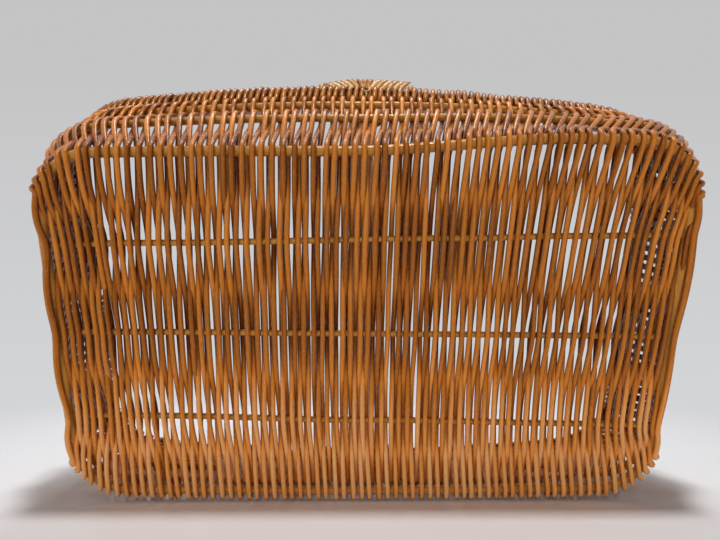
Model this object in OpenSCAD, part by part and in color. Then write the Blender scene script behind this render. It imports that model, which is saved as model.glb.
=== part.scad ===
// Gathering basket of woven reed, lying on one long side as it rests in the picture.
// It is drawn upright (X length, Y width, Z from the base to the mouth), then laid down.

/* [Body] */
// Length of the base, between the centre lines of the edge hoop
base_len = 416; // [340:1:480]
// Width of the base at its middle, between the centre lines of the edge hoop
base_wid = 246; // [200:1:290]
// How far the middle of a long side of the base stands out from its ends
base_bow = 2; // [1:0.5:4]
// Corner radius of the edge hoop
base_corner = 36; // [34:1:60]
// Length of the mouth, between the centre lines of the rim
mouth_len = 454; // [410:1:520]
// Width of the mouth at its middle, between the centre lines of the rim
mouth_wid = 318; // [290:1:350]
// How far the middle of a long side of the mouth stands out from its ends
mouth_bow = 10; // [5:1:14]
// Corner radius of the rim
mouth_corner = 52; // [48:1:90]
// Height of the rim over the base
depth = 98; // [80:1:130]

/* [Rods] */
// Thickness of the edge hoop
edge_d = 6.6; // [5:0.1:8]
// Thickness of the base ribs
rib_d = 4.2; // [3:0.1:6]
// Number of base ribs
rib_count = 3; // [3, 5]
// Spacing of the ribs, as a part of an even spacing
rib_spread = 1.06; // [1:0.01:1.1]
// Thickness of the two wall hoops
hoop_d = 5.4; // [4:0.1:7]
// Height of the lower wall hoop, as a part of the depth
lower_at = 0.53; // [0.4:0.01:0.6]
// Height of the upper wall hoop, as a part of the depth
upper_at = 0.78; // [0.7:0.01:0.82]
// Thickness of the rolled border on the rim
border_d = 13; // [10:0.5:15]
// Depth of the twist in the border
border_twist = 1.3; // [0.5:0.1:2]

/* [Reeds] */
// Width of a reed
reed_w = 2.8; // [2:0.1:3.2]
// Thickness of a reed
reed_t = 2.6; // [2:0.1:3.2]
// Gap between two reeds of the base
base_gap = 0.75; // [0.6:0.05:4]
// Reeds in each long wall
long_reeds = 56; // [40:2:70]
// Reeds in each end wall
end_reeds = 24; // [18:2:32]
// Reeds in each corner
corner_reeds = 10; // [8:2:12]

/* [Handle] */
// Height of the widest point over the rim
bow_wide_at = 55; // [45:1:65]
// Height of the top over the widest point
bow_rise = 132; // [100:1:160]
// How far the foot of the bow reaches below its widest point, in degrees
bow_foot = 31; // [28:1:34]
// Width of the bow
bow_w = 24; // [18:1:32]
// Thickness of the bow
bow_t = 9; // [7:0.5:11]
// Thickness of the cane wrapped round the bow
cane_t = 1.4; // [1:0.1:2]
// Wrapped turns of cane on the bow
wrap_turns = 34; // [20:1:40]
// Reach of each lashing along the rim, from the middle of the bow
lash_reach = 36; // [30:1:45]
// Height of each lashing over the rim
lash_h = 40; // [32:1:48]
// Width of the cane band of a lashing, round the rim
band_w = 8; // [6:0.5:10]
// Diameter of the nails
nail_d = 1.6; // [1.2:0.1:2]
// Diameter of the nail heads
nail_head = 5; // [4:0.1:6]
// Thickness of the nail heads
nail_head_t = 1; // [0.6:0.1:1.5]

/* [Fit] */
// Clearance between a reed or cane and the rod that it bends round
seat = 0.3; // [0.25:0.05:0.4]

/* [Hidden] */

reed_brown = "peru";
rod_brown = "sienna";
cane_pale = "burlywood";
nail_grey = "darkkhaki";
$fn = 48;

border_r = border_d / 2;
edge_off = edge_d / 2 + reed_t / 2 + seat;
rib_off = rib_d / 2 + reed_t / 2 + seat;
// A reed slants from one wall hoop to the next, so its bends stand a little further off
hoop_near = hoop_d / 2 + reed_t / 2 + seat;
hoop_slant = atan2(2 * hoop_near, depth * (upper_at - lower_at));
hoop_off = hoop_near / cos(hoop_slant);
rib_step = rib_spread * base_wid / (rib_count + 1);
end_lean = reed_t / 2;

// Outline of the body at a part t of the depth: half length, half width at the ends of the long sides,
// corner radius, and the bow of the long sides
function part_way(a, b, t) = a + (b - a) * t;
function half_len(t) = part_way(base_len, mouth_len, t) / 2;
function half_wid(t) = part_way(base_wid, mouth_wid, t) / 2 - side_bow(t);
function corner(t) = part_way(base_corner, mouth_corner, t);
function side_bow(t) = part_way(base_bow, mouth_bow, t);
// A long side is an arc that runs on into the arcs of the corners
function side_r(t) = corner(t) + side_bow(t) / 2 + pow(half_len(t) - corner(t), 2) / side_bow(t) / 2;
function side_half(t) = asin((half_len(t) - corner(t)) / (side_r(t) - corner(t)));
function side_mid(t) = half_wid(t) + side_bow(t) - side_r(t);
function bend_half(t) = 90 - side_half(t);

// A point of that outline. On a side k runs from -1 to 1, in a corner from 0 at the end to 1
function long_point(t, sy, k) = [
    side_r(t) * sin(k * side_half(t)),
    sy * (side_mid(t) + side_r(t) * cos(k * side_half(t))),
    depth * t];
function end_point(t, sx, k) = [sx * half_len(t), k * (half_wid(t) - corner(t)), depth * t];
function bend_point(t, sx, sy, k) = [
    sx * (half_len(t) - corner(t) * (1 - cos(k * bend_half(t)))),
    sy * (half_wid(t) - corner(t) * (1 - sin(k * bend_half(t)))),
    depth * t];
// The way that the outline faces there
function long_face(t, sy, k) = sy * (90 - k * side_half(t));
function end_face(sx) = 90 - sx * 90;
function bend_face(t, sx, sy, k) = end_face(sx) + sx * sy * k * bend_half(t);

function unit(v) = v / norm(v);
function middle(n, i) = (2 * i + 1 - n) / n;

// Outline of a bent band of thickness th along a path
function left_of(v) = [-v[1], v[0]];
function bend_normal(p, i) =
    i == 0 ? left_of(unit(p[1] - p[0])) :
    i == len(p) - 1 ? left_of(unit(p[i] - p[i - 1])) :
    let (a = left_of(unit(p[i] - p[i - 1])), b = left_of(unit(p[i + 1] - p[i])), m = unit(a + b))
    m / (m * a);
function band(p, th) = concat(
    [for (i = [0 : len(p) - 1]) p[i] + bend_normal(p, i) * th / 2],
    [for (i = [len(p) - 1 : -1 : 0]) p[i] - bend_normal(p, i) * th / 2]);

// Path of a wall reed in its own plane: x out of the wall, y up along it
// An outer reed wraps under the edge hoop, an inner one starts beside it
function wrap_turn(q, down) =
    let (to_wall = atan2(q[1], q[0]) - acos(edge_off / norm(q)), half = (to_wall - down) / 2)
    [cos(down + half), sin(down + half)] * edge_off / cos(half);
function wall_path(length, outer, down) =
    let (side = outer ? 1 : -1,
        low = [-side * hoop_off, length * lower_at],
        high = [side * hoop_off, length * upper_at],
        top = [side * end_lean, length - border_r - 2 * seat],
        start = [cos(down), sin(down)] * edge_off)
    outer ? [start, wrap_turn(low, down), low, high, top] :
    [[-edge_off - reed_t / 2, reed_t], low, high, top];

// One reed of a wall, from the edge hoop at p to the rim at q, where the wall faces the angle a
module wall_reed(p, q, a, outer) {
    up = unit(q - p);
    out = unit(cross([-sin(a), cos(a), 0], up));
    along = cross(out, up);
    down = atan2(-up[2], -out[2]);
    multmatrix([
        [out[0], up[0], along[0], p[0]],
        [out[1], up[1], along[1], p[1]],
        [out[2], up[2], along[2], p[2]]])
        linear_extrude(reed_w, center = true)
            polygon(band(wall_path(norm(q - p), outer, down), reed_t));
}

module long_wall(sy) {
    for (i = [0 : long_reeds - 1]) {
        k = middle(long_reeds, i);
        wall_reed(long_point(0, sy, k), long_point(1, sy, k), long_face(0.5, sy, k), i % 2 == 0);
    }
}

module end_wall(sx) {
    for (i = [0 : end_reeds - 1]) {
        k = middle(end_reeds, i);
        wall_reed(end_point(0, sx, k), end_point(1, sx, k), end_face(sx), i % 2 == 0);
    }
}

module corner_wall(sx, sy) {
    for (i = [0 : corner_reeds - 1]) {
        k = (1 + middle(corner_reeds, i)) / 2;
        wall_reed(bend_point(0, sx, sy, k), bend_point(1, sx, sy, k), bend_face(0.5, sx, sy, k),
            i % 2 == 0);
    }
}

// Half width of the base at x, inside the centre line of the edge hoop by an inset
function base_reach(x, inset) =
    let (over = abs(x) - (base_len / 2 - base_corner), r = base_corner - inset, side = side_r(0) - inset)
    over <= 0 ? side_mid(0) + sqrt(side * side - x * x) :
    half_wid(0) - base_corner + sqrt(max(0, r * r - over * over));
function rib_place(k) = (k - (rib_count + 1) / 2) * rib_step;

// Path of a base reed: under the edge hoop or inside it, then over and under the ribs
function base_path(x, outer) =
    let (side = outer ? -1 : 1,
        stop = base_reach(x, outer ? seat + reed_t / 4 : edge_off + reed_t / 2))
    concat(
        [[-stop, outer ? -edge_off : 0]],
        [for (k = [1 : rib_count]) [rib_place(k), (k % 2 == 1 ? -1 : 1) * side * rib_off]],
        [[stop, outer ? -edge_off : 0]]);

module base_reeds() {
    pitch = reed_w + base_gap;
    run = base_len - edge_d - 2 * reed_t;
    count = 2 * floor(run / pitch / 2);
    for (i = [0 : count - 1]) {
        x = (i - (count - 1) / 2) * pitch;
        translate([x, 0, 0]) rotate([90, 0, 90]) linear_extrude(reed_w, center = true)
            polygon(band(base_path(abs(x) + reed_w / 2, i % 2 == 0), reed_t));
    }
}

// One rib, butted against the end of the edge hoop at both ends
module rib(k) {
    length = base_len - edge_d - 2 * seat;
    translate([-length / 2, rib_place(k), 0])
        rotate([0, 90, 0]) cylinder(d = rib_d, h = length);
}

// Faces of a skin over rings of n points, closed on itself or with flat ends
function quad(a, b, c, d) = [[a, b, c], [a, c, d]];
function skin(rings, n) = [for (i = [0 : rings - 2], j = [0 : n - 1]) each
    quad(i * n + j, i * n + (j + 1) % n, (i + 1) * n + (j + 1) % n, (i + 1) * n + j)];
function last_skin(rings, n) = [for (j = [0 : n - 1]) each
    quad((rings - 1) * n + j, (rings - 1) * n + (j + 1) % n, (j + 1) % n, j)];
function end_caps(rings, n) = [
    [for (j = [n - 1 : -1 : 0]) j],
    [for (j = [0 : n - 1]) (rings - 1) * n + j]];

// The basket lies on its wall at +Y: on the corners of the outer reeds there, and on the lashing
lash_r = border_r + seat + cane_t;
lash_x = lash_reach - band_w / 2;
lash_y = side_mid(1) + sqrt(pow(side_r(1), 2) - pow(lash_x, 2));
wall_lean = (mouth_wid - base_wid) / 2;
wall_run = norm([wall_lean, depth]);
wall_flare = atan2(wall_lean, depth);
// Corner of those reeds, out and up from the edge hoop: along the wall, then in the upright basket
edge_turn = wrap_turn([-hoop_off, wall_run * lower_at], wall_flare - 90)
    * (edge_off + reed_t / 2) / edge_off;
edge_out = edge_turn[0] * cos(wall_flare) + edge_turn[1] * sin(wall_flare);
edge_up = edge_turn[1] * cos(wall_flare) - edge_turn[0] * sin(wall_flare);
lash_from = [lash_y - base_wid / 2 - edge_out, depth - edge_up];
lie = atan2(lash_from[0], lash_from[1]) + asin(lash_r / norm(lash_from));
edge_low = edge_out * cos(lie) - edge_up * sin(lie);
// Front and back of the basket as it lies, from the edge hoop that is on the ground
lie_front = edge_up * cos(lie) - (base_wid + edge_out) * sin(lie);
// The bow stands inside the rim, with room for the bands of the lashing
bow_grown = bow_t / 2 + seat + cane_t;
bow_span = (mouth_wid / 2 - lash_r - 2 * seat - bow_t / 2) / cos(asin(bow_wide_at / bow_rise));
bow_lie_reach = norm([(bow_span + bow_grown) * sin(lie), (bow_rise + bow_grown) * cos(lie)]);
lie_back = bow_lie_reach - base_wid / 2 * sin(lie) + (depth + bow_wide_at) * cos(lie);

// Stations round the outline at a part t of the depth: a point, and the way that the outline faces
function end_places(t, sx, n) = [for (i = [0 : n - 1])
    [end_point(t, sx, sx * (2 * i / n - 1)), end_face(sx)]];
function side_places(t, sy, n) = [for (i = [0 : n - 1])
    let (k = sy * (1 - 2 * i / n))
    [long_point(t, sy, k), long_face(t, sy, k)]];
function bend_places(t, sx, sy, n) = [for (i = [0 : n - 1])
    let (k = sx * sy > 0 ? i / n : 1 - i / n)
    [bend_point(t, sx, sy, k), bend_face(t, sx, sy, k)]];
function places(t, ends, bends, sides) = concat(
    end_places(t, 1, ends), bend_places(t, 1, 1, bends),
    side_places(t, 1, sides), bend_places(t, -1, 1, bends),
    end_places(t, -1, ends), bend_places(t, -1, -1, bends),
    side_places(t, -1, sides), bend_places(t, 1, -1, bends));
function round_about(place, r, b) =
    place[0] + r * [cos(b) * cos(place[1]), cos(b) * sin(place[1]), sin(b)];

// A rod bent into the outline at a part t of the depth
rod_sides = 12;
module hoop(t, d) {
    stations = places(t, 2, 10, 10);
    n = len(stations);
    polyhedron(
        points = [for (p = stations, j = [0 : rod_sides - 1]) round_about(p, d / 2, 360 * j / rod_sides)],
        faces = concat(skin(n, rod_sides), last_skin(n, rod_sides)));
}

// Rolled border: a rope of four strands laid round the rim
border_sides = 8;
module rim_border_rope() {
    stations = places(1, 10, 8, 20);
    n = len(stations);
    polyhedron(
        points = [for (i = [0 : n - 1], j = [0 : border_sides - 1])
            let (r = border_r - border_twist * ((i + j) % 2))
            round_about(stations[i], r, 360 * j / border_sides - lie)],
        faces = concat(skin(n, border_sides), last_skin(n, border_sides)));
}

// The bow of the handle is part of an ellipse in the plane across the basket
bow_rings = 40;
bow_sides = 12;
function bow_point(a) = [0, bow_span * cos(a), depth + bow_wide_at + bow_rise * sin(a)];
function bow_out(a) = unit([0, cos(a) / bow_span, sin(a) / bow_rise]);
function bow_ring(a, grow) = [for (j = [0 : bow_sides - 1])
    let (b = 360 * j / bow_sides)
    bow_point(a) + [1, 0, 0] * (bow_w / 2 + grow) * cos(b) + bow_out(a) * (bow_t / 2 + grow) * sin(b)];
function bow_angle(k, foot) = -foot + (180 + 2 * foot) * k;

module bow_core() {
    polyhedron(
        points = [for (i = [0 : bow_rings]) each bow_ring(bow_angle(i / bow_rings, bow_foot), 0)],
        faces = concat(skin(bow_rings + 1, bow_sides), end_caps(bow_rings + 1, bow_sides)));
}

// Cane sleeve on the bow above the lashings, with a ridge for each turn
wrap_clear = 1;
wrap_foot = asin((bow_wide_at - lash_h) / bow_rise) - wrap_clear;
module bow_wrap() {
    rings = 2 * wrap_turns + 1;
    n = bow_sides;
    from = rings * n;
    outside = [for (i = [0 : rings - 1]) each
        bow_ring(bow_angle(i / (rings - 1), wrap_foot), seat + cane_t * (i % 2 == 0 ? 0.5 : 1))];
    inside = [for (i = [0 : rings - 1]) each bow_ring(bow_angle(i / (rings - 1), wrap_foot), seat)];
    ends = [for (i = [0, rings - 1], j = [0 : n - 1]) each
        let (a = i * n + j, b = i * n + (j + 1) % n)
        i == 0 ? quad(from + a, from + b, b, a) : quad(a, b, from + b, from + a)];
    inner_skin = [for (f = skin(rings, n)) [from + f[2], from + f[1], from + f[0]]];
    polyhedron(points = concat(outside, inside), faces = concat(skin(rings, n), inner_skin, ends));
}

// Angle on the bow at a height over the rim, on the near side
function bow_at(h) = asin((h - bow_wide_at) / bow_rise);

band_turn = 270;
band_from = (360 - band_turn) / 2 - wall_flare;
// Cane lashing of one foot: a web on each side of the bow, and a band round the rim under each web
module lashing() {
    for (s = [-1, 1]) {
        hull() {
            for (h = [border_r + cane_t, lash_h])
                translate(bow_point(bow_at(h)) + [s * (bow_w / 2 + seat + cane_t / 2), 0, 0])
                    rotate([0, 90, 0]) cylinder(d = cane_t, h = cane_t, center = true);
            translate([s * lash_x, lash_y, depth + lash_r + seat + cane_t / 2])
                rotate([0, 90, 0]) cylinder(d = cane_t, h = band_w, center = true);
        }
        translate([s * lash_x, lash_y, depth]) rotate([0, 90, 0])
            rotate([0, 0, band_from]) rotate_extrude(angle = band_turn)
                translate([border_r + seat, -band_w / 2]) square([cane_t, band_w]);
    }
}
// Nail through the upper wall or lower wall into the foot of the bow
nail_drop = 12;
module nail() {
    out = long_point(1 - nail_drop / depth, 1, 0)[1] + hoop_off + reed_t / 2 + seat;
    inner = bow_point(bow_at(-nail_drop))[1];
    translate([0, 0, depth - nail_drop]) {
        translate([0, out, 0]) rotate([-90, 0, 0]) cylinder(d = nail_head, h = nail_head_t);
        translate([0, inner, 0]) rotate([-90, 0, 0])
            cylinder(d = nail_d, h = out - inner + nail_head_t / 2);
    }
}

module nail_bore() {
    inner = bow_point(bow_at(-nail_drop))[1] - seat;
    translate([0, inner, depth - nail_drop])
        rotate([-90, 0, 0]) cylinder(d = nail_d + 2 * seat, h = bow_t * 2);
}

// Lays the upright basket down on its wall at +Y, with the base to the front
module lay_down() {
    translate([0, -(lie_front + lie_back) / 2, edge_low])
        rotate([lie - 90, 0, 0])
            translate([0, -base_wid / 2, 0]) children();
}

module edge_hoop() { color(rod_brown) lay_down() hoop(0, edge_d); }
module lower_hoop() { color(rod_brown) lay_down() hoop(lower_at, hoop_d); }
module upper_hoop() { color(rod_brown) lay_down() hoop(upper_at, hoop_d); }
module rim_border() { color(reed_brown) lay_down() rim_border_rope(); }
module rib_lower() { color(rod_brown) lay_down() rib(rib_count); }
module rib_middle() { color(rod_brown) lay_down() for (k = [2 : rib_count - 1]) rib(k); }
module rib_upper() { color(rod_brown) lay_down() rib(1); }
module base_weave() { color(reed_brown) lay_down() base_reeds(); }
module lower_wall_weave() { color(reed_brown) lay_down() long_wall(1); }
module upper_wall_weave() { color(reed_brown) lay_down() long_wall(-1); }
module left_end_weave() { color(reed_brown) lay_down() end_wall(-1); }
module right_end_weave() { color(reed_brown) lay_down() end_wall(1); }
module corner_weave_lower_left() { color(reed_brown) lay_down() corner_wall(-1, 1); }
module corner_weave_lower_right() { color(reed_brown) lay_down() corner_wall(1, 1); }
module corner_weave_upper_left() { color(reed_brown) lay_down() corner_wall(-1, -1); }
module corner_weave_upper_right() { color(reed_brown) lay_down() corner_wall(1, -1); }
module handle_bow() {
    color(rod_brown) lay_down() difference() {
        bow_core();
        nail_bore();
        mirror([0, 1, 0]) nail_bore();
    }
}
module handle_wrap() { color(cane_pale) lay_down() bow_wrap(); }
module lower_lashing() { color(cane_pale) lay_down() lashing(); }
module upper_lashing() { color(cane_pale) lay_down() mirror([0, 1, 0]) lashing(); }
module nails() {
    color(nail_grey) lay_down() {
        nail();
        mirror([0, 1, 0]) nail();
    }
}

edge_hoop();
lower_hoop();
upper_hoop();
rim_border();
rib_lower();
rib_middle();
rib_upper();
base_weave();
lower_wall_weave();
upper_wall_weave();
left_end_weave();
right_end_weave();
corner_weave_lower_left();
corner_weave_lower_right();
corner_weave_upper_left();
corner_weave_upper_right();
handle_bow();
handle_wrap();
lower_lashing();
upper_lashing();
nails();
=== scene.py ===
import math

import bpy
import numpy as np
from mathutils import Matrix, Vector


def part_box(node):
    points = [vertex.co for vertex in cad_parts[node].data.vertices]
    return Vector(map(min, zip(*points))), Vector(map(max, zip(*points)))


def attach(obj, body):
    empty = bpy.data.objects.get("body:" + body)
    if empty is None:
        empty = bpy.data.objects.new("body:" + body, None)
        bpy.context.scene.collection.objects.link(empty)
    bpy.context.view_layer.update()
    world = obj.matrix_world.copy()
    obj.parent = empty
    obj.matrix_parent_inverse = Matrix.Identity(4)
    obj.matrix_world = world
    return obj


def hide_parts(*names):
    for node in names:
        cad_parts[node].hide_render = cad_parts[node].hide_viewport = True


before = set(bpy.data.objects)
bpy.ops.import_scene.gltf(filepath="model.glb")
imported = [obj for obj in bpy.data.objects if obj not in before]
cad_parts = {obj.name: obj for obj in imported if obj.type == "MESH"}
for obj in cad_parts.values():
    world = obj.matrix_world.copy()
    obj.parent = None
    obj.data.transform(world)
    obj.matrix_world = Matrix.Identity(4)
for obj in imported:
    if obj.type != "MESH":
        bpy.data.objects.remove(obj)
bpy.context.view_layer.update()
print("frame:", len(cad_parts), "nodes")

mm = 0.001
draw = np.random.default_rng(11)
grainApart = 40  # sets the grain of one reed apart from the next
nearRun, nearLevel = 0.5, 0.02  # steps to either side that show which way the wall runs


# the upright basket inside the laid-down frame: x along, y across to the side on the ground, z to the mouth
def nodeMiddle(node):
    low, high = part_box(node)
    return np.array((low + high) / 2)


def unit(v):
    return v / np.linalg.norm(v, axis=-1, keepdims=True)


baseMiddle = nodeMiddle("rib_middle")
alongAxis = np.array([1.0, 0.0, 0.0])
acrossAxis = unit(nodeMiddle("rib_lower") - nodeMiddle("rib_upper"))
mouthAxis = np.cross(alongAxis, acrossAxis)
uprightAxes = np.array([alongAxis, acrossAxis, mouthAxis])


def laid(points):
    return baseMiddle + np.asarray(points, float) * mm @ uprightAxes


def uprightBox(node):
    verts = np.array([v.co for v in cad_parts[node].data.vertices])
    placed = (verts - baseMiddle) @ uprightAxes.T / mm
    return placed.min(0), placed.max(0)


edgeLow, edgeHigh = uprightBox("edge_hoop")
rimLow, rimHigh = uprightBox("rim_border")
lowerLow, lowerHigh = uprightBox("lower_hoop")
upperLow, upperHigh = uprightBox("upper_hoop")
ribLow, ribHigh = uprightBox("rib_upper")
edgeThick = edgeHigh[2] - edgeLow[2]
rimThick = rimHigh[2] - rimLow[2]
hoopThick = lowerHigh[2] - lowerLow[2]
ribThick = ribHigh[2] - ribLow[2]
ribStep = -(ribLow[1] + ribHigh[1]) / 2
depth = (rimLow[2] + rimHigh[2]) / 2
lowerAt = (lowerLow[2] + lowerHigh[2]) / 2 / depth
upperAt = (upperLow[2] + upperHigh[2]) / 2 / depth

basket = {
    "baseLen": edgeHigh[0] - edgeLow[0] - edgeThick,
    "baseWid": edgeHigh[1] - edgeLow[1] - edgeThick,
    "baseCorner": 36,
    "baseBow": 2,
    "mouthLen": rimHigh[0] - rimLow[0] - rimThick,
    "mouthWid": rimHigh[1] - rimLow[1] - rimThick,
    "mouthCorner": 52,
    "mouthBow": 10,
    "swellLeft": 10,  # the end walls stand out by this much between the base and the rim
    "swellRight": 17,
    "edgeLift": (-2, 8),  # the edge on top stands this much higher on the left and on the right
    "rimLift": (0, -2),  # and the rim there
    "liftAlong": (-20, 140),  # between these it goes over from the left to the right value
    "liftAcross": 120,  # it fades out from here down to the middle
    "swellFrom": 100,  # the swell begins this far from the middle
    "ribTilt": (-4.5, 1.5, 4.5),  # how far the right end of each rib is lower, from the top
}


def partWay(a, b, t):
    return a + (b - a) * t


def smooth(a, b, x):
    f = np.clip((np.asarray(x, float) - a) / (b - a), 0, 1)
    return f * f * (3 - 2 * f)


# outline of the body at a part t of the depth: long sides are arcs that run on into the corners
def outline(t):
    halfLen = partWay(basket["baseLen"], basket["mouthLen"], t) / 2
    bow = partWay(basket["baseBow"], basket["mouthBow"], t)
    halfWid = partWay(basket["baseWid"], basket["mouthWid"], t) / 2 - bow
    corner = partWay(basket["baseCorner"], basket["mouthCorner"], t)
    sideR = corner + bow / 2 + (halfLen - corner) ** 2 / bow / 2
    sideHalf = np.arcsin((halfLen - corner) / (sideR - corner))
    return halfLen, halfWid, bow, corner, sideR, sideHalf


# length of that outline from the middle of a long side to the middle of an end
def quarterRun(t):
    _, halfWid, _, corner, sideR, sideHalf = outline(t)
    return sideR * sideHalf + corner * (math.pi / 2 - sideHalf) + halfWid - corner


# the basket is not quite regular: its ends swell, and its top edge and rim aren't level
def uneven(x, y, t):
    left, right = [partWay(basket["edgeLift"][k], basket["rimLift"][k], t) for k in (0, 1)]
    lift = partWay(left, right, smooth(*basket["liftAlong"], x)) * smooth(0, basket["liftAcross"], -y)
    swell = partWay(basket["swellLeft"], basket["swellRight"], x > 0) * np.sin(math.pi * t) ** 2
    swell = swell * smooth(basket["swellFrom"], basket["baseLen"] / 2, np.abs(x))
    return x + np.sign(x) * swell, y - lift


# a point of that outline at a run s along it, from the middle of the long side sy
def wallPoint(t, sy, s):
    t, s = np.broadcast_arrays(np.asarray(t, float), np.asarray(s, float))
    halfLen, halfWid, bow, corner, sideR, sideHalf = outline(t)
    sign, far = np.sign(s), np.abs(s)
    sideRun, bendTurn = sideR * sideHalf, math.pi / 2 - sideHalf
    turn = np.minimum(far, sideRun) / sideR
    bend = bendTurn - np.clip((far - sideRun) / corner, 0, bendTurn)
    over = np.clip(far - sideRun - corner * bendTurn, 0, None)  # on past the corner, along the end
    onSide = far <= sideRun
    x = np.where(onSide, sideR * np.sin(turn), halfLen - corner * (1 - np.cos(bend)))
    y = np.where(
        onSide, halfWid + bow - sideR + sideR * np.cos(turn), halfWid - corner * (1 - np.sin(bend)) - over)
    x, y = sign * x, sy * y
    return np.stack([*uneven(x, y, t), depth * t], -1)


# the ways that the wall faces and runs up there
def wallFrame(t, sy, s):
    t, s = np.broadcast_arrays(np.asarray(t, float), np.asarray(s, float))
    along = wallPoint(t, sy, s + nearRun) - wallPoint(t, sy, s - nearRun)
    up = unit(wallPoint(t + nearLevel, sy, s) - wallPoint(t - nearLevel, sy, s))
    out = unit(np.cross(unit(along), up))
    out = out * np.sign(np.sum(out[..., :2] * wallPoint(t, sy, s)[..., :2], -1, keepdims=True))
    return out, up


def ribY(k, x):
    return (k - 1) * ribStep + basket["ribTilt"][k] * np.asarray(x) / (basket["baseLen"] / 2)


# a rod or reed swept along a path, with values along it for the grain of its material and for the painted
# light and shade in its tone
class Sweep:
    def __init__(self):
        self.verts, self.faces, self.tone, self.place = [], [], [], []
        self.count = 0

    def add(self, path, radius, tone, sides=8, closed=False, flat=None, faceDir=None, sideShade=0):
        path = np.asarray(path, float)
        n = len(path)
        ahead = np.roll(path, -1, 0) - np.roll(path, 1, 0)
        if not closed:
            ahead[0], ahead[-1] = path[1] - path[0], path[-1] - path[-2]
        ahead = unit(ahead)
        if faceDir is not None:
            side = unit(faceDir - ahead * np.sum(faceDir * ahead, -1, keepdims=True))
        else:
            side = np.zeros_like(path)
            start = np.array([0.0, 0.0, 1.0]) if abs(ahead[0][2]) < 0.9 else alongAxis
            now = unit(start - ahead[0] * (start @ ahead[0]))
            for i in range(n):
                now = unit(now - ahead[i] * (now @ ahead[i]))
                side[i] = now
        other = np.cross(ahead, side)
        angle = np.arange(sides) * 2 * math.pi / sides
        wide, thick = (radius, radius) if flat is None else flat
        wide = np.broadcast_to(np.asarray(wide, float), (n,))[:, None, None]
        thick = np.broadcast_to(np.asarray(thick, float), (n,))[:, None, None]
        ring = (
            path[:, None]
            + thick * np.cos(angle)[None, :, None] * side[:, None]
            + wide * np.sin(angle)[None, :, None] * other[:, None]
        )
        self.verts.append(laid(ring.reshape(-1, 3)))
        i = np.arange(n if closed else n - 1)[:, None]
        j = np.arange(sides)[None, :]
        a, b = i * sides + j, i * sides + (j + 1) % sides
        c, d = (i + 1) % n * sides + (j + 1) % sides, (i + 1) % n * sides + j
        self.faces += (np.stack([a, b, c, d], -1).reshape(-1, 4) + self.count).tolist()
        if not closed:
            self.faces.append((np.arange(sides)[::-1] + self.count).tolist())
            self.faces.append((np.arange(sides) + (n - 1) * sides + self.count).tolist())
        run = np.concatenate([[0], np.cumsum(np.linalg.norm(np.diff(path, axis=0), axis=1))])
        # painted shade: darker on the sides and inner face of each reed, between reeds
        tone = np.broadcast_to(tone, (n,))[:, None] - sideShade * (1 - np.cos(angle)) / 2
        self.tone.append(tone.ravel())
        cosRound = np.tile(np.cos(angle), n)
        sinRound = np.tile(np.sin(angle), n) + grainApart * tone[0, 0]
        self.place.append(np.stack([np.repeat(run, sides), cosRound, sinRound], -1))
        self.count += n * sides

    def build(self, name, material):
        mesh = bpy.data.meshes.new(name)
        mesh.from_pydata(np.concatenate(self.verts).tolist(), [], self.faces)
        mesh.polygons.foreach_set("use_smooth", [True] * len(mesh.polygons))
        tone = mesh.attributes.new("tone", "FLOAT", "POINT")
        tone.data.foreach_set("value", np.concatenate(self.tone).astype(np.float32))
        place = mesh.attributes.new("place", "FLOAT_VECTOR", "POINT")
        place.data.foreach_set("vector", np.concatenate(self.place).astype(np.float32).ravel())
        mesh.materials.append(material)
        piece = bpy.data.objects.new(name, mesh)
        bpy.context.scene.collection.objects.link(piece)
        print(name, "triangles", sum(len(f) - 2 for f in self.faces))
        return piece


# colours are written as they look on screen, 0 to 255
def rgb(r, g, b):
    linear = [(c / 255 / 12.92) if c <= 10 else ((c / 255 + 0.055) / 1.055) ** 2.4 for c in (r, g, b)]
    return (*linear, 1.0)


def makeGroup(name, inputs, outputs):
    group = bpy.data.node_groups.new(name, "ShaderNodeTree")
    for socketName, kind in inputs:
        group.interface.new_socket(socketName, in_out="INPUT", socket_type=kind)
    for socketName, kind in outputs:
        group.interface.new_socket(socketName, in_out="OUTPUT", socket_type=kind)
    return group, group.nodes.new("NodeGroupInput"), group.nodes.new("NodeGroupOutput")


def addNode(tree, kind, settings=None, values=None):
    node = tree.nodes.new(kind)
    for key, value in (settings or {}).items():
        setattr(node, key, value)
    for key, value in (values or {}).items():
        node.inputs[key].default_value = value
    return node


def colorMix(tree, a, b):
    return addNode(tree, "ShaderNodeMix", {"data_type": "RGBA"}, {"A": a, "B": b})


def rangeNode(tree, fromLow, fromHigh, toLow=0, toHigh=1, kind="LINEAR"):
    return addNode(tree, "ShaderNodeMapRange", {"interpolation_type": kind}, {
        "From Min": fromLow, "From Max": fromHigh, "To Min": toLow, "To Max": toHigh})


varnish = {
    "streakScale": (0.035, 1.6, 1.6),  # along and round the reed
    "blotchScale": (0.02, 0.3, 0.3),
    "wornScale": (0.16, 0.9, 0.9),
    "streakNoise": {"Scale": 1.0, "Detail": 3.0, "Roughness": 0.6},
    "blotchNoise": {"Scale": 1.0, "Detail": 2.0},
    "wornNoise": {"Scale": 1.3, "Detail": 4.0, "Roughness": 0.7},
    "streaks": 0.55,  # how much they add to the tone
    "blotches": 0.6,
    "deepToWarm": (0.45, 1.75),  # between these tones the colour goes from deep to warm
    # and on from warm to the worn colour, which the painted light on the reeds reaches
    "warmToPale": (1.5, 2.3),
    "palest": 0.85,
    "wornSpots": (0.6, 0.72),
    "roughFrom": (0.3, 0.7),  # of the worn noise
    "roughness": (0.16, 0.38),
    "gloss": 0.35,
    "glossTint": rgb(255, 205, 130),
    "relief": 0.4 * mm,
    "nailMetal": 0.6,
}
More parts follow.
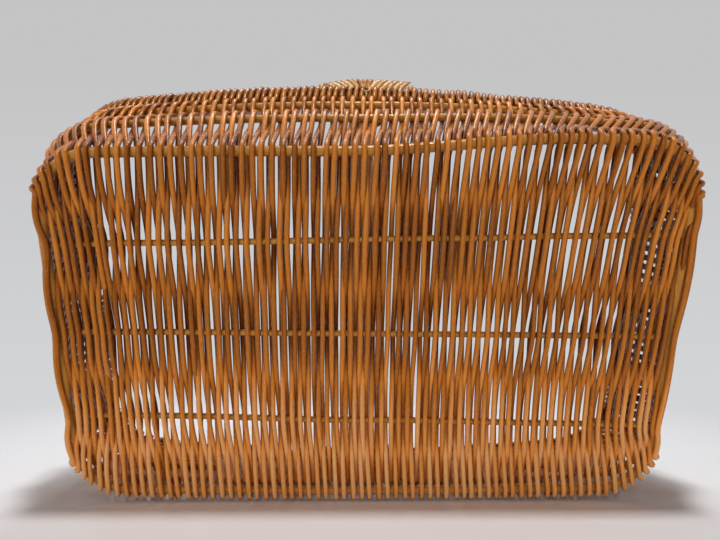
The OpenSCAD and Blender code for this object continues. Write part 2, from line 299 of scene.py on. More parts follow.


# long streaks, knots of darker varnish and paler worn spots, from the run of each reed, over a tone that
# also carries painted light and shade
def varnishGroup():
    group, into, out = makeGroup(
        "varnishedGrain",
        [("Tone", "NodeSocketFloat"), ("Place", "NodeSocketVector"), ("Deep", "NodeSocketColor"),
         ("Warm", "NodeSocketColor"), ("WornAndLit", "NodeSocketColor"), ("Wear", "NodeSocketFloat")],
        [("Color", "NodeSocketColor"), ("Roughness", "NodeSocketFloat"), ("Height", "NodeSocketFloat")],
    )
    link = group.links.new
    stretch = addNode(group, "ShaderNodeMapping", values={"Scale": varnish["streakScale"]})
    link(into.outputs["Place"], stretch.inputs["Vector"])
    streak = addNode(group, "ShaderNodeTexNoise", values=varnish["streakNoise"])
    link(stretch.outputs[0], streak.inputs["Vector"])
    blotchMap = addNode(group, "ShaderNodeMapping", values={"Scale": varnish["blotchScale"]})
    link(into.outputs["Place"], blotchMap.inputs["Vector"])
    blotch = addNode(group, "ShaderNodeTexNoise", values=varnish["blotchNoise"])
    link(blotchMap.outputs[0], blotch.inputs["Vector"])
    both = addNode(group, "ShaderNodeMath", {"operation": "MULTIPLY_ADD"}, {1: varnish["streaks"]})
    link(streak.outputs["Fac"], both.inputs[0])
    link(into.outputs["Tone"], both.inputs[2])
    third = addNode(group, "ShaderNodeMath", {"operation": "MULTIPLY_ADD"}, {1: varnish["blotches"]})
    link(blotch.outputs["Fac"], third.inputs[0])
    link(both.outputs[0], third.inputs[2])
    level = rangeNode(group, *varnish["deepToWarm"])
    link(third.outputs[0], level.inputs["Value"])
    mixed = addNode(group, "ShaderNodeMix", {"data_type": "RGBA"})
    link(level.outputs[0], mixed.inputs["Factor"])
    link(into.outputs["Deep"], mixed.inputs["A"])
    link(into.outputs["Warm"], mixed.inputs["B"])
    wornMap = addNode(group, "ShaderNodeMapping", values={"Scale": varnish["wornScale"]})
    link(into.outputs["Place"], wornMap.inputs["Vector"])
    worn = addNode(group, "ShaderNodeTexNoise", values=varnish["wornNoise"])
    link(wornMap.outputs[0], worn.inputs["Vector"])
    wornMask = rangeNode(group, *varnish["wornSpots"])
    link(worn.outputs["Fac"], wornMask.inputs["Value"])
    wornPart = addNode(group, "ShaderNodeMath", {"operation": "MULTIPLY"})
    link(wornMask.outputs[0], wornPart.inputs[0])
    link(into.outputs["Wear"], wornPart.inputs[1])
    # high tones, most of them from the painted light on the reeds, go over to the worn colour as well
    pale = rangeNode(group, *varnish["warmToPale"], 0, varnish["palest"])
    link(third.outputs[0], pale.inputs["Value"])
    palest = addNode(group, "ShaderNodeMath", {"operation": "MAXIMUM"})
    link(pale.outputs[0], palest.inputs[0])
    link(wornPart.outputs[0], palest.inputs[1])
    final = addNode(group, "ShaderNodeMix", {"data_type": "RGBA"})
    link(palest.outputs[0], final.inputs["Factor"])
    link(mixed.outputs["Result"], final.inputs["A"])
    link(into.outputs["WornAndLit"], final.inputs["B"])
    link(final.outputs["Result"], out.inputs["Color"])
    rough = rangeNode(group, *varnish["roughFrom"], *varnish["roughness"])
    link(worn.outputs["Fac"], rough.inputs["Value"])
    link(rough.outputs[0], out.inputs["Roughness"])
    link(streak.outputs["Fac"], out.inputs["Height"])
    return group


grainGroup = varnishGroup()


# swept pieces carry their own grain values, painted light and shade in their tone among them, CAD nodes take
# them from their place
def woodMaterial(name, deep, warm, worn, wear, bump, swept=True):
    material = bpy.data.materials.new(name)
    material.use_nodes = True
    tree = material.node_tree
    shader = tree.nodes["Principled BSDF"]
    shader.inputs["Specular IOR Level"].default_value = varnish["gloss"]
    shader.inputs["Specular Tint"].default_value = varnish["glossTint"]
    grain = addNode(
        tree, "ShaderNodeGroup", {"node_tree": grainGroup},
        {"Tone": 0.5, "Deep": deep, "Warm": warm, "WornAndLit": worn, "Wear": wear})
    if swept:
        tone = addNode(tree, "ShaderNodeAttribute", {"attribute_name": "tone"})
        place = addNode(tree, "ShaderNodeAttribute", {"attribute_name": "place"})
        tree.links.new(tone.outputs["Fac"], grain.inputs["Tone"])
        tree.links.new(place.outputs["Vector"], grain.inputs["Place"])
    else:
        place = addNode(tree, "ShaderNodeTexCoord")
        scale = addNode(tree, "ShaderNodeMapping", values={"Scale": (1 / mm, 1 / mm, 1 / mm)})
        tree.links.new(place.outputs["Object"], scale.inputs["Vector"])
        tree.links.new(scale.outputs["Vector"], grain.inputs["Place"])
    tree.links.new(grain.outputs["Color"], shader.inputs["Base Color"])
    tree.links.new(grain.outputs["Roughness"], shader.inputs["Roughness"])
    relief = addNode(tree, "ShaderNodeBump", values={"Strength": bump, "Distance": varnish["relief"]})
    tree.links.new(grain.outputs["Height"], relief.inputs["Height"])
    tree.links.new(relief.outputs["Normal"], shader.inputs["Normal"])
    return material


# deep, warm and worn colour (the worn colour is also where the painted light on the reeds goes), how much is
# worn, and relief
reedVarnish = woodMaterial(
    "reedVarnish", rgb(108, 46, 8), rgb(224, 138, 54), rgb(240, 182, 120), 0.35, 0.25)
rodVarnish = woodMaterial(
    "rodVarnish", rgb(150, 88, 30), rgb(228, 164, 82), rgb(236, 192, 124), 0.5, 0.2)
borderVarnish = woodMaterial(
    "borderVarnish", rgb(112, 56, 12), rgb(192, 116, 42), rgb(204, 150, 90), 0.4, 0.25)
caneTan = woodMaterial(
    "caneTan", rgb(160, 98, 42), rgb(218, 172, 112), rgb(232, 198, 146), 0.5, 0.2)
bowWood = woodMaterial(
    "bowWood", rgb(120, 70, 30), rgb(180, 120, 64), rgb(200, 150, 100), 0.4, 0.2, swept=False)
nailBrass = woodMaterial(
    "nailBrass", rgb(150, 140, 96), rgb(206, 198, 150), rgb(222, 216, 176), 0.5, 0.1, swept=False)
nailBrass.node_tree.nodes["Principled BSDF"].inputs["Metallic"].default_value = varnish["nailMetal"]
print("materials ready")


def finishPiece(piece, slotName, *nodes):
    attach(piece, "root")
    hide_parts(*nodes)


# rods: the edge hoop, the two wall hoops and the three ribs
rods = {
    "stations": 264,
    "ribStations": 60,
    "sides": 12,
    "waver": 0.25,  # how far from straight, with so many bends
    "hoopBends": 24,
    "ribBends": 9,
    "tone": (0.3, 0.6),
}


def outlineLoop(t, count):
    run = np.linspace(-1, 1, count // 2, endpoint=False) * quarterRun(t)
    return np.concatenate([wallPoint(t, 1, -run), wallPoint(t, -1, run)])


def waver(n, size, bumps):
    knots = draw.normal(0, size, bumps)
    places = np.linspace(0, bumps, n, endpoint=False)
    return np.interp(places, np.arange(bumps + 1), np.append(knots, knots[0]))


for node, level, thick in (
    ("edge_hoop", 0.0, edgeThick), ("lower_hoop", lowerAt, hoopThick), ("upper_hoop", upperAt, hoopThick),
):
    hoop = Sweep()
    loop = outlineLoop(level, rods["stations"])
    loop[:, 2] += waver(len(loop), rods["waver"], rods["hoopBends"])
    hoop.add(loop, thick / 2, draw.uniform(*rods["tone"]), rods["sides"], closed=True)
    finishPiece(hoop.build(node.replace("_hoop", "Rod"), rodVarnish), "rod", node)

for k, node in enumerate(("rib_upper", "rib_middle", "rib_lower")):
    rib = Sweep()
    x = np.linspace(ribLow[0], ribHigh[0], rods["ribStations"])
    acrossWaver = waver(len(x), rods["waver"], rods["ribBends"])
    depthWaver = waver(len(x), rods["waver"] / 2, rods["ribBends"])
    line = np.stack([x, ribY(k, x) + acrossWaver, depthWaver], -1)
    rib.add(line, ribThick / 2, draw.uniform(*rods["tone"]), rods["sides"])
    finishPiece(rib.build(node.replace("rib_", "") + "Rib", rodVarnish), "rod", node)


# reeds: each one runs from the rim down the upper wall, over the base and up the lower wall
reeds = {
    "thick": 3.6,
    "pitch": 6.3,  # from one outer reed to the next, at the edge
    "reachLeft": 216,  # how far round the corners they go, along the edge hoop
    "reachRight": 226,
    "endLeft": 205,  # where the outermost ones cross the ribs
    "endRight": 208,
    "squeezeFrom": 150,  # from here on they are pressed together on the base
    "paired": (0.7, 1.2),  # half the way from an outer to an inner reed at a rod, at the ends and the middle
    "apart": 1.6,  # and where they cross
    "evenly": 1.75,  # and at the wall hoops
    "pairedIn": 110,  # about this far from the middle they go over to how they are at the ends
    "bulge": 2.5,  # between the ribs the outermost reeds stand out by this much
    "bulgeFrom": 130,
    "wander": 0.55,  # how far they stray, drawn larger because they are evened out
    "wanderMore": 1.6,
    "evening": (0.25, 0.5, 0.25),
    "straight": 0.45,  # part of each bend, the rest is a wave
    "tuckOff": 0.5,
    "tuckTop": 0.93,  # they end under the border
    "fan": (0.13, 0.16),  # they spread by these parts up to the lower hoop and the rim
    "fanFrom": -52,
    "fanLess": 0.6,  # and by less round the corners
    "fanLessFrom": 120,
    "leanLeft": 2,  # and lie this much further right at the top edge than at the ribs
    "leanRight": 9,
    "leanFrom": (20, 170),  # it goes over from the left to the right value between these
    "leanLow": 0.6,  # part of that lean that the lower wall loses
    "leanTop": 0.3,  # part of it that is left at the top rib
    "riding": 0.7,  # the outermost reeds lie on the edge hoop, and rise and sink by this much
    "thicker": (0.92, 1.06),
    "wavy": 0.03,  # thicker and thinner along it, over so many radians
    "wavyRun": 9,
    "tone": (0.2, 0.95),
    "paler": 0.95,  # painted light from the floor: paler towards the ground, between these heights
    "palerAt": (130, 20),
    "darker": 0.5,  # painted shade: darker behind a rod, between these distances out from its middle
    "darkerAt": (1, -4),
    "paintedWallLight": 0.2,  # painted light and sheen from above: paler on the outside of the wall, between these distances and these heights
    "paintedWallLightAt": (1, 4),
    "paintedWallLightUp": (8, 30),
    # painted shade: darker on the sides and inner face of each reed
    "sideShade": 0.9,
    "wallThick": 1.08,  # the wall is a little denser than the base, and becomes so between these heights
    "wallThickUp": (4, 30),
    "edgeLevel": 0.04,  # where the way that the wall faces at the edge is taken
    "wallSteps": (5, 6, 10),
    "bendSteps": 6,
    "baseSteps": 11,
}
wallLevels = np.array((reeds["tuckTop"], upperAt, lowerAt, 0.0))
reedR = reeds["thick"] / 2
edgeOff = edgeThick / 2 + reedR
hoopOff = hoopThick / 2 + reedR
ribOff = ribThick / 2 + reedR


# the bends of a reed are rounder than a zigzag and straighter than a wave
def weaveBlend(f):
    wave = (1 - np.cos(math.pi * f)) / 2
    return reeds["straight"] * f + (1 - reeds["straight"]) * wave


def pairedAt(u):
    return partWay(*reeds["paired"], math.exp(-((u / reeds["pairedIn"]) ** 2)))


def leanAt(u):
    return partWay(reeds["leanLeft"], reeds["leanRight"], float(smooth(*reeds["leanFrom"], u)))


# the lower wall follows less of that lean
def lowRun(u):
    return u - reeds["leanLow"] * (leanAt(u) - reeds["leanLeft"])


def ribX(u):
    x = u - leanAt(u)
    reach = reeds["reachRight"] - reeds["leanRight"] if u > 0 else reeds["reachLeft"] + reeds["leanLeft"]
    end = reeds["endRight"] if u > 0 else reeds["endLeft"]
    squeeze = (end - reeds["squeezeFrom"]) / (reach - reeds["squeezeFrom"])
    past = max(abs(x) - reeds["squeezeFrom"], 0)
    return math.copysign(min(abs(x), reeds["squeezeFrom"]) + past * squeeze, x)


def fanned(u, t, fanFrom):
    atCorner = 1 - reeds["fanLess"] * smooth(reeds["fanLessFrom"], reeds["reachLeft"], abs(u))
    return u + (u - fanFrom) * np.interp(t, (0, lowerAt, 1), (0, *reeds["fan"])) * atCorner


# runs: where the reed lies along the outline at the rim, the upper hoop, the lower hoop and the edge
def wallRun(runs, sy, kind, paired, wide, startOff=None):
    startOff = edgeOff if startOff is None else startOff
    offs = (kind * reeds["tuckOff"], kind * hoopOff, -kind * hoopOff, kind * startOff)
    points = []
    for j, steps in enumerate(reeds["wallSteps"]):
        f = np.linspace(0, 1, steps, endpoint=False)
        t = partWay(wallLevels[j], wallLevels[j + 1], f)
        off = partWay(offs[j], offs[j + 1], weaveBlend(f))
        s = partWay(runs[j], runs[j + 1], f) - kind * partWay(wide, wide if j < 2 else paired, f)
        out = wallFrame(t, sy, s)[0]
        points.append(np.column_stack([wallPoint(t, sy, s) + off[:, None] * out, off, out]))
    points = np.concatenate(points)
    if kind < 0:
        points = points[points[:, 2] > edgeOff]
    s = runs[3] - kind * paired
    centre = wallPoint(0.0, sy, s)
    out = wallFrame(reeds["edgeLevel"], sy, s)[0]
    down = np.array([0.0, 0.0, -1.0])
    if kind > 0:
        turn = np.linspace(0, 1, reeds["bendSteps"])[:, None]
        face = unit(out * (1 - turn) + down * turn)
        bend = centre + edgeOff * face
    else:
        face = unit(out + down)[None]
        bend = (centre - edgeOff * (out + down) / (1 + out @ down))[None]
    bend = np.column_stack([bend, np.full(len(bend), kind * edgeOff), face])
    return points, bend, centre


def baseRun(u, kind, top, bottom, nudge, over):
    x = ribX(u)
    paired = pairedAt(u)
    leans = np.array((reeds["leanTop"], 0.0, 0.0)) * leanAt(u)
    rodX = [top[0]] + [x - kind * paired + n for n in nudge + leans] + [bottom[0]]
    rodY = [top[1]] + [ribY(k, x) for k in range(3)] + [bottom[1]]
    offs = [edgeOff, -ribOff, ribOff, -ribOff, edgeOff]
    offs = [kind * v for v in offs]
    if over:
        offs = [edgeOff + reeds["riding"] * (-1) ** k for k in range(5)]
    slope = np.gradient(rodX, rodY)
    outermost = float(smooth(reeds["bulgeFrom"], reeds["endLeft"], abs(x)))
    bulge = reeds["bulge"] * outermost * math.copysign(1, u)
    points = []
    for j in range(4):
        f = np.linspace(0, 1, reeds["baseSteps"], endpoint=False)
        h = rodY[j + 1] - rodY[j]
        across = (
            (2 * f**3 - 3 * f**2 + 1) * rodX[j] + (f**3 - 2 * f**2 + f) * h * slope[j]
            + (3 * f**2 - 2 * f**3) * rodX[j + 1] + (f**3 - f**2) * h * slope[j + 1]
        )
        across = across + np.sin(math.pi * f) * (bulge - kind * (reeds["apart"] - paired))
        z = -partWay(offs[j], offs[j + 1], weaveBlend(f))
        down = partWay(rodY[j], rodY[j + 1], f)
        points.append(np.stack([across, down, z, -z, 0 * f, 0 * f, 0 * f - 1], -1))
    points = np.concatenate(points)[1:]
    if kind < 0 and not over:
        points = points[(points[:, 1] > rodY[0] + edgeOff) & (points[:, 1] < rodY[4] - edgeOff)]
    return points


def soften(path, times):
    for _ in range(times):
        path[1:-1] = (path[:-2] + 2 * path[1:-1] + path[2:]) / 4
    return path


def reedPath(u, kind):
    over = abs(ribX(u)) > basket["baseLen"] / 2 - edgeOff
    kind = 1 if over else kind
    strays = draw.normal(0, reeds["wander"] * reeds["wanderMore"], 13)
    nudge = np.convolve(strays, reeds["evening"], "valid")  # four on each wall and three on the base
    gaps = pairedAt(u), reeds["evenly"]
    upRuns = fanned(u, wallLevels, reeds["fanFrom"]) + nudge[:4]
    lowRuns = fanned(lowRun(u), wallLevels, 0) + nudge[:6:-1]
    upWall, upBend, top = wallRun(upRuns, -1, kind, *gaps)
    lowWall, lowBend, bottom = wallRun(lowRuns, 1, kind, *gaps)
    middle = baseRun(u, kind, top, bottom, nudge[4:7], over)
    return soften(np.concatenate([upWall, upBend, middle, lowBend[::-1], lowWall[::-1]]), 2)


# a random tone with painted light and shade on it: paler on the outside of the walls (painted light and
# sheen from above) and towards the ground (painted light from the floor), and darker where they pass behind
# a rod (painted shade)
def reedTone(path):
    low = reeds["paler"] * smooth(*reeds["palerAt"], laid(path[:, :3])[:, 2] / mm)
    onWall = smooth(*reeds["paintedWallLightUp"], path[:, 2])
    paintedWallLight = reeds["paintedWallLight"] * smooth(*reeds["paintedWallLightAt"], path[:, 3]) * onWall
    behind = reeds["darker"] * smooth(*reeds["darkerAt"], path[:, 3])
    # painted light and shade are added to the random tone here
    return draw.uniform(*reeds["tone"]) + low + paintedWallLight - behind


pairs = int((reeds["reachLeft"] + reeds["reachRight"]) / reeds["pitch"])
outerReeds, innerReeds = Sweep(), Sweep()
for i in range(pairs + 1):
    u = partWay(-reeds["reachLeft"], reeds["reachRight"], i / pairs)
    for kind, group in ((1, outerReeds), (-1, innerReeds)):
        path = reedPath(u, kind)
        wave = 1 + reeds["wavy"] * np.sin(np.linspace(0, reeds["wavyRun"], len(path)) + u)
        thick = reedR * draw.uniform(*reeds["thicker"]) * wave
        thick = thick * partWay(1, reeds["wallThick"], smooth(*reeds["wallThickUp"], path[:, 2]))
        group.add(path[:, :3], thick, reedTone(path), faceDir=path[:, 4:], sideShade=reeds["sideShade"])
longNodes = ("base_weave", "upper_wall_weave", "lower_wall_weave", "corner_weave_upper_left",
             "corner_weave_upper_right", "corner_weave_lower_left", "corner_weave_lower_right")
finishPiece(outerReeds.build("outerReeds", reedVarnish), "reed", *longNodes)
finishPiece(innerReeds.build("innerReeds", reedVarnish), "reed", *longNodes)


# the end walls have short reeds of their own, from the edge hoop to the border
endReeds = {"pitch": 3.1, "apart": 3, "darker": 0.1, "thicker": (0.95, 1.08)}
for sx, name, node in ((-1, "leftEndReeds", "left_end_weave"), (1, "rightEndReeds", "right_end_weave")):
    group = Sweep()
    quarters = quarterRun(wallLevels)
    reach = reeds["reachRight"] if sx > 0 else reeds["reachLeft"]
    starts = fanned(reach + endReeds["apart"], wallLevels, 0)
    ends = 2 * quarters - fanned(sx * lowRun(sx * reach) + endReeds["apart"], wallLevels, 0)
    count = int((ends[3] - starts[3]) / endReeds["pitch"])
    for i in range(count):
        runs = partWay(starts, ends, (i + 0.5) / count)
        sy = -1 if i < count / 2 else 1
        runs = runs if sy < 0 else 2 * quarters - runs
        wall, _, centre = wallRun(sx * runs, sy, 1 if i % 2 == 0 else -1, 0, 0, 0)
        path = soften(np.concatenate([wall, [[*centre, 0, *wall[-1, 4:]]]]), 1)
        group.add(
            path[:, :3], reedR * draw.uniform(*endReeds["thicker"]), reedTone(path) - endReeds["darker"],
            faceDir=path[:, 4:], sideShade=reeds["sideShade"])
    finishPiece(group.build(name, reedVarnish), "reed", node)


# rolled border: reed ends that come up past the upper hoop and lie over the rim, on a core
border = {
    "pitch": 4.9,
    "coreR": 3.6,
    "coreTone": 0.1,
    "coreStations": 200,
    "layR": 4.9,
    "reedR": 2.0,
    "sides": 6,
    "lay": 6,  # each reed end moves on along the rim by this much
    "rise": 16.5,
    "riseSteps": (-1, -0.75, -0.5, -0.22),  # parts of the rise under the rim
    "riseOut": (0.6, 2.6, 4.3, 5.1),  # how far out of the wall they are there
    "lap": (88, -115),  # then round the rim, in degrees from the top
    "lapSteps": 10,
    "loose": 0.35,
    "uneven": 0.04,
    "thicker": (0.92, 1.08),
    "tone": (0.2, 1.0),
}
rimRun = quarterRun(1.0)
borderReeds = Sweep()
borderReeds.add(
    outlineLoop(1.0, border["coreStations"]), border["coreR"], border["coreTone"], closed=True)
lapAngle = np.radians(np.linspace(*border["lap"], border["lapSteps"]))
lapOut = np.concatenate([border["riseOut"], border["layR"] * np.sin(lapAngle)])
lapUp = np.concatenate([np.array(border["riseSteps"]) * border["rise"], border["layR"] * np.cos(lapAngle)])
wraps = int(4 * rimRun / border["pitch"])
for i in range(wraps):
    place = i / wraps * 4 * rimRun + draw.normal(0, border["loose"])
    sy, s = (-1, place - rimRun) if place < 2 * rimRun else (1, 3 * rimRun - place)
    s = np.clip(s + (np.linspace(0, 1, len(lapOut)) - 0.5) * border["lay"], -rimRun, rimRun)
    centre = wallPoint(1.0, sy, s)
    out, up = wallFrame(1.0, sy, s)
    swell = 1 + draw.normal(0, border["uneven"])
    path = centre + swell * (lapOut[:, None] * out + lapUp[:, None] * up)
    borderReeds.add(
        path, border["reedR"] * draw.uniform(*border["thicker"]), draw.uniform(*border["tone"]),
        border["sides"], faceDir=unit(path - centre), sideShade=reeds["sideShade"])
finishPiece(borderReeds.build("rolledBorder", borderVarnish), "reed", "rim_border")


# handle: the CAD bow, wound with flat cane above the lashings
def paintNode(node, material):
    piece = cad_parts[node]
    piece.data.materials.clear()
    piece.data.materials.append(material)


paintNode("handle_bow", bowWood)
paintNode("nails", nailBrass)
wrapLow = uprightBox("handle_wrap")[0]
bowLow, bowHigh = uprightBox("handle_bow")
handle = {
    "bowW": 24,
    "bowT": 9,
    "wideAt": 55,  # the bow is widest this far over the rim, and rises this much on from there
    "rise": 132,
    "pitch": 2.9,
    "caneW": 2.7,
    "caneT": 0.9,
    "caneGap": 0.1,
    "caneTone": 0.5,
    "caneSides": 6,
    "turnSteps": 22,
    "fineSteps": 800,
}
bowSpan = (bowHigh[1] - bowLow[1] - handle["bowT"]) / 2


def bowPoint(a):
    return np.stack([0 * a, bowSpan * np.cos(a), depth + handle["wideAt"] + handle["rise"] * np.sin(a)], -1)


def bowOut(a):
    return unit(np.stack([0 * a, np.cos(a) / bowSpan, np.sin(a) / handle["rise"]], -1))


footAngle = math.asin((wrapLow[2] - depth - handle["wideAt"]) / handle["rise"])
fine = np.linspace(footAngle, math.pi - footAngle, handle["fineSteps"])
fineRun = np.concatenate([[0], np.cumsum(np.linalg.norm(np.diff(bowPoint(fine), axis=0), axis=1))])
turns = int(fineRun[-1] / handle["pitch"])
windings = np.linspace(0, 1, turns * handle["turnSteps"])
angleAlong = np.interp(windings * fineRun[-1], fineRun, fine)
winding = windings * turns * 2 * math.pi
caneOff = handle["caneT"] / 2 + handle["caneGap"]
sideways = (handle["bowW"] / 2 + caneOff) * np.cos(winding)
outward = (handle["bowT"] / 2 + caneOff) * np.sin(winding)
caneFace = unit(
    (np.cos(winding) / handle["bowW"])[:, None] * alongAxis
    + (np.sin(winding) / handle["bowT"])[:, None] * bowOut(angleAlong))
canePath = bowPoint(angleAlong) + sideways[:, None] * alongAxis + outward[:, None] * bowOut(angleAlong)
bowCane = Sweep()
caneFlat = (handle["caneW"] / 2, handle["caneT"] / 2)
bowCane.add(canePath, 0, handle["caneTone"], handle["caneSides"], flat=caneFlat, faceDir=caneFace)
finishPiece(bowCane.build("bowCane", caneTan), "cane", "handle_wrap")

# lashings: strips of cane fan out from the foot of the bow over the rim, and a band closes each side
lash = {
    "stripW": 4.2,
    "stripT": 0.9,
    "sides": 6,
    "tops": (-31, -26.5, -22, -17.5, -13, -9, -4.5, 0, 3.5, 10.5, 15, 19.5, 24, 28.5, 33),
    "pad": (-11, 5),  # the strips between these lie on the bow
    "standUpper": (1.5, 4.5, 4.5, 3.5),  # over the border: at the left, on the pad and at the right
    "standLower": (-2, -2, -2, -2),
    "startAt": (0.62, -0.88),  # out of the rim and before it, in parts of its radius
    "overAt": (1.1, -0.4),
    "overPart": 0.4,  # so much of the slant is done there
    "crest": 2,  # the top is this far behind the middle of the rim, in three steps
    "crestStep": 0.3,
    "back": (0.5, 0.3, 5),  # from there along and out, and how far behind
    "slant": 7,
    "padSlant": 2,
    "footLow": 8,  # they end at these heights over the rim on the sides of the bow
    "footHigh": 38,
    "footGap": 0.8,
    "padFoot": 16,  # and those of the pad at this height on its outside
    "padOut": 5.2,
    "padNarrow": 0.8,
    "padTone": (0.0, 0.3),
    "tones": (0.25, 0.85),  # of the other strips in turn
    "bands": (-33, 35),
    "bandOut": 0.7,
    "bandLean": 1.5,
    "bandTurn": (135, -100),
    "bandSteps": 16,
    "bandTone": 0.25,
}
stripFlat = (lash["stripW"] / 2, lash["stripT"] / 2)
# the way that a strip faces along its run: out of the rim and behind it
stripFaces = ((0.5, -1), (0.6, -0.8), (0.8, -0.6), (1, -0.2), (1, 0.2), (1, 0.3))
restParts = np.array([[0.25], [0.5], [0.75], [1.0]])  # of the way down to the foot


def bowMiddle(height):
    return bowPoint(np.arcsin((height - handle["wideAt"]) / handle["rise"]))


rimR = border["layR"] + border["reedR"]
for sy, name, node, stand in (
    (-1, "upperStrips", "upper_lashing", "standUpper"), (1, "lowerStrips", "lower_lashing", "standLower"),
):
    strips = Sweep()
    toSide = np.array([1, sy, 1])
    for i, topX in enumerate(lash["tops"]):
        onPad = lash["pad"][0] < topX < lash["pad"][1]
        high = rimR + np.interp(topX, (lash["tops"][0], *lash["pad"], lash["tops"][-1]), lash[stand])
        rim = wallPoint(1.0, sy, topX) * np.array([0, 1, 1])
        lean = math.copysign(1, topX)
        startX = topX - lean * lash["padSlant" if onPad else "slant"]
        # x, how far out of the middle of the rim and how far behind it
        line = np.array([
            (startX, lash["startAt"][0] * rimR, lash["startAt"][1] * rimR),
            (partWay(startX, topX, lash["overPart"]), lash["overAt"][0] * rimR, lash["overAt"][1] * rimR),
            (topX, high, lash["crest"] + lash["crestStep"] * (i % 3)),
            (topX + lash["back"][0] * lean, high + lash["back"][1], lash["back"][2]),
        ])
        line = rim + soften(np.repeat(line, 2, 0), 2) * toSide
        if onPad:
            foot = bowMiddle(lash["padFoot"]) + (lash["padNarrow"] * topX, lash["padOut"], 0)
            tone = draw.uniform(*lash["padTone"])
        else:
            foot = bowMiddle(partWay(lash["footLow"], lash["footHigh"], abs(topX) / lash["tops"][-1]))
            foot = foot + (lean * (handle["bowW"] / 2 + lash["footGap"]), 0, 0)
            tone = lash["tones"][i % 2]
        rest = partWay(line[-1], foot * toSide, restParts)
        line = soften(np.concatenate([line, rest]), 1)
        face = np.array([(0, out, behind) for out, behind in stripFaces for _ in range(2)]) * toSide
        strips.add(line, 0, tone, lash["sides"], flat=stripFlat, faceDir=face)
    for bandX in lash["bands"]:
        angle = np.radians(np.linspace(*lash["bandTurn"], lash["bandSteps"]))
        x = bandX + lash["bandLean"] * np.linspace(-1, 1, lash["bandSteps"])
        out, up = wallFrame(1.0, sy, x)
        face = np.sin(angle)[:, None] * out + np.cos(angle)[:, None] * up
        band = wallPoint(1.0, sy, x) + (rimR + lash["bandOut"]) * face
        strips.add(band, 0, lash["bandTone"], lash["sides"], flat=stripFlat, faceDir=face)
    finishPiece(strips.build(name, caneTan), "cane", node)

# floor, backdrop, light and camera
stage = {
    "floor": rgb(232, 232, 234),
    "paperLow": rgb(211, 212, 214),  # how the paper round the basket looks in a picture, low and high
    "paperHigh": rgb(196, 196, 197),
    "near": (0.28, 0.68),  # nearer than this the floor shows light and shadow
    "wallPart": 0.5,  # the wall is at least so much paper
    "paperTop": 0.6,  # height of the upper grey
    "rough": 0.85,
    "room": (0.05, 0.05, 0.05, 1),
    "wallAt": 0.5,
    "wallTop": 0.9,
    "size": 9.0,
    "cove": 0.1,
    "steps": 10,
}


# rays that show the paper as it is: from the camera, and in gloss and glass
def seenRays(tree):
    rays = addNode(tree, "ShaderNodeLightPath")
    glossy = addNode(tree, "ShaderNodeMath", {"operation": "MAXIMUM"})
    clear = addNode(tree, "ShaderNodeMath", {"operation": "MAXIMUM"})
    tree.links.new(rays.outputs["Is Camera Ray"], glossy.inputs[0])
    tree.links.new(rays.outputs["Is Glossy Ray"], glossy.inputs[1])
    tree.links.new(glossy.outputs[0], clear.inputs[0])
    tree.links.new(rays.outputs["Is Transmission Ray"], clear.inputs[1])
    return clear.outputs[0]


def paperMaterial(name, isWall):
    material = bpy.data.materials.new(name)
    material.use_nodes = True
    tree = material.node_tree
    shader = tree.nodes["Principled BSDF"]
    shader.inputs["Base Color"].default_value = stage["floor"]
    shader.inputs["Roughness"].default_value = stage["rough"]
    place = addNode(tree, "ShaderNodeTexCoord").outputs["Object"]
    height = addNode(tree, "ShaderNodeSeparateXYZ")
    shade = rangeNode(tree, 0, stage["paperTop"])
    greys = colorMix(tree, stage["paperLow"], stage["paperHigh"])
    paper = addNode(tree, "ShaderNodeEmission")
    tree.links.new(place, height.inputs[0])
    tree.links.new(height.outputs["Z"], shade.inputs["Value"])
    tree.links.new(shade.outputs["Result"], greys.inputs["Factor"])
    tree.links.new(greys.outputs["Result"], paper.inputs["Color"])
    far = addNode(tree, "ShaderNodeVectorMath", {"operation": "LENGTH"})
    edge = rangeNode(tree, *stage["near"], stage["wallPart"] if isWall else 0, 1, "SMOOTHSTEP")
    part = addNode(tree, "ShaderNodeMath", {"operation": "MULTIPLY"})
    tree.links.new(place, far.inputs[0])
    tree.links.new(far.outputs["Value"], edge.inputs["Value"])
    tree.links.new(edge.outputs["Result"], part.inputs[0])
    tree.links.new(seenRays(tree), part.inputs[1])
    mixed = addNode(tree, "ShaderNodeMixShader")
    tree.links.new(part.outputs[0], mixed.inputs[0])
    tree.links.new(shader.outputs[0], mixed.inputs[1])
    tree.links.new(paper.outputs[0], mixed.inputs[2])
    if isWall:  # seen only from the front
        oneSided = addNode(tree, "ShaderNodeMixShader")
        tree.links.new(addNode(tree, "ShaderNodeNewGeometry").outputs["Backfacing"], oneSided.inputs[0])
        tree.links.new(mixed.outputs[0], oneSided.inputs[1])
        tree.links.new(addNode(tree, "ShaderNodeBsdfTransparent").outputs[0], oneSided.inputs[2])
        mixed = oneSided
    tree.links.new(mixed.outputs[0], tree.nodes["Material Output"].inputs["Surface"])
    return material


# floor, cove and wall, and a second stretch of floor behind the wall
half, wallAt, cove = stage["size"] / 2, stage["wallAt"], stage["cove"]
coveTurn = np.linspace(0, math.pi / 2, stage["steps"])
profile = [(-half, 0.0)]
profile += [(wallAt - cove * (1 - math.sin(a)), cove * (1 - math.cos(a))) for a in coveTurn]
profile += [(wallAt, stage["wallTop"]), (wallAt - cove, 0.0), (half, 0.0)]
floorMesh = bpy.data.meshes.new("floor")
floorMesh.from_pydata(
    [(x * half, y, z) for y, z in profile for x in (-1, 1)], [],
    [(2 * i, 2 * i + 1, 2 * i + 3, 2 * i + 2) for i in range(len(profile) - 1) if i != len(profile) - 3])
floorMesh.materials.append(paperMaterial("floorPaper", False))
floorMesh.materials.append(paperMaterial("wallPaper", True))
for face in floorMesh.polygons:
    face.use_smooth = True
    face.material_index = 1 if 0 < face.index < len(floorMesh.polygons) - 1 else 0
floor = bpy.data.objects.new("floor", floorMesh)
bpy.context.scene.collection.objects.link(floor)

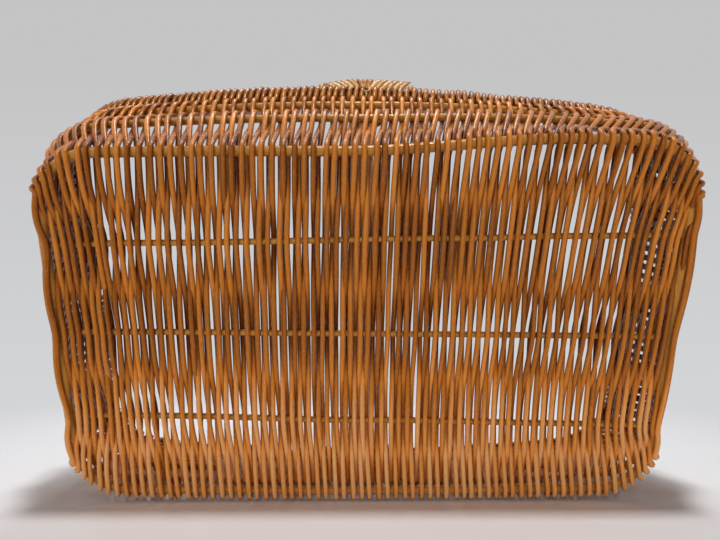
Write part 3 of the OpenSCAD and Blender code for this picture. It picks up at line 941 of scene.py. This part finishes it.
lamps = {
    "keyLight": {"place": (0.05, -0.65, 2.2), "target": (0, -0.1, 0.1), "size": (0.2, 0.2), "power": 27},
    "leftLight": {"place": (-1.5, -0.5, 0.5), "target": (-0.2, 0, 0.1), "size": (0.8, 0.6), "power": 3.5},
    "rightLight": {"place": (1.5, -0.5, 0.5), "target": (0.2, 0, 0.1), "size": (0.8, 0.6), "power": 1.5},
    "backLight": {"place": (0, 0.42, 1.6), "target": (0, -0.05, 0.28), "size": (0.7, 0.2), "power": 6},
    "frontLight": {"place": (-0.2, -1.9, 0.18), "target": (0, 0, 0.12), "size": (1.6, 0.3), "power": 10},
}
for name, lamp in lamps.items():
    area = bpy.data.lights.new(name, "AREA")
    area.shape = "RECTANGLE"
    area.size, area.size_y = lamp["size"]
    area.energy = lamp["power"]
    light = bpy.data.objects.new(name, area)
    light.location = lamp["place"]
    light.rotation_mode = "QUATERNION"
    light.rotation_quaternion = (Vector(lamp["target"]) - Vector(lamp["place"])).to_track_quat("-Z", "Y")
    bpy.context.scene.collection.objects.link(light)

# the room is dim round the basket, and pale where the picture shows it
world = bpy.data.worlds.new("studio")
world.use_nodes = True
room = world.node_tree.nodes["Background"]
room.inputs["Strength"].default_value = 1
paper = colorMix(world.node_tree, stage["room"], stage["paperHigh"])
world.node_tree.links.new(seenRays(world.node_tree), paper.inputs["Factor"])
world.node_tree.links.new(paper.outputs["Result"], room.inputs["Color"])
bpy.context.scene.world = world
bpy.context.scene.view_settings.view_transform = "Standard"

view = {
    "place": (-0.0114, -0.494, 0.1289),
    "up": 5.54,  # degrees
    "yaw": -0.99,
    "roll": 0.14,
    "focalPixels": 552,
    "imageWidth": 720,
    "sensor": 36,
    "nearest": 0.01,
}
cameraData = bpy.data.cameras.new("camera")
cameraData.sensor_width = view["sensor"]
cameraData.lens = view["focalPixels"] * cameraData.sensor_width / view["imageWidth"]
cameraData.clip_start = view["nearest"]
camera = bpy.data.objects.new("camera", cameraData)
camera.matrix_world = (
    Matrix.Translation(view["place"])
    @ Matrix.Rotation(math.radians(view["yaw"]), 4, "Z")
    @ Matrix.Rotation(math.radians(90 + view["up"]), 4, "X")
    @ Matrix.Rotation(math.radians(view["roll"]), 4, "Z")
)
bpy.context.scene.collection.objects.link(camera)
bpy.context.scene.camera = camera
print("stage ready")
